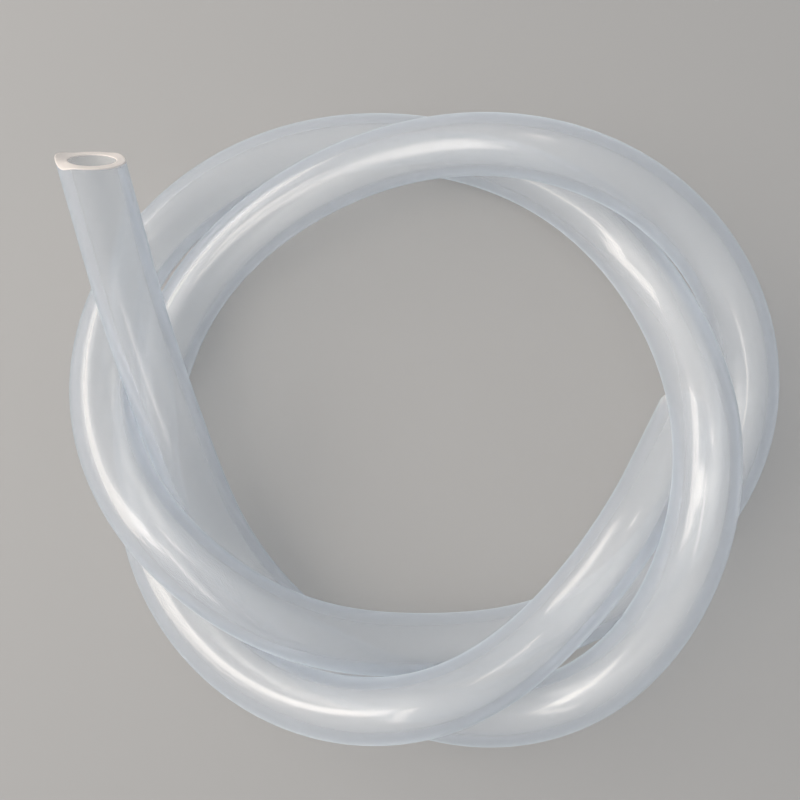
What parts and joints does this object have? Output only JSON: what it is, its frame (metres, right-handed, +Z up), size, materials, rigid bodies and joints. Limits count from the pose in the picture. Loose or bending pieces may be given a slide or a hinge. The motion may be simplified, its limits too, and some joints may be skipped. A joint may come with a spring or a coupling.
{
  "type": "silicone tubing coil",
  "caption": "Length of soft translucent silicone tubing lying in loose, overlapping turns, with one square-cut end lifted clear.",
  "frame": {"origin": "middle of the coil's bounding box, on the surface that it lies on", "axes": "+Z up from the bench, +X along the coil's longest side, +Y towards the side that the lifted end points to"},
  "size_m": [0.1774, 0.1628, 0.0537],
  "materials": {
    "milky_silicone": "smooth, glossy, milky translucent"
  },
  "bodies": {
    "root": {"tubing": "milky_silicone"}
  },
  "joints": []
}
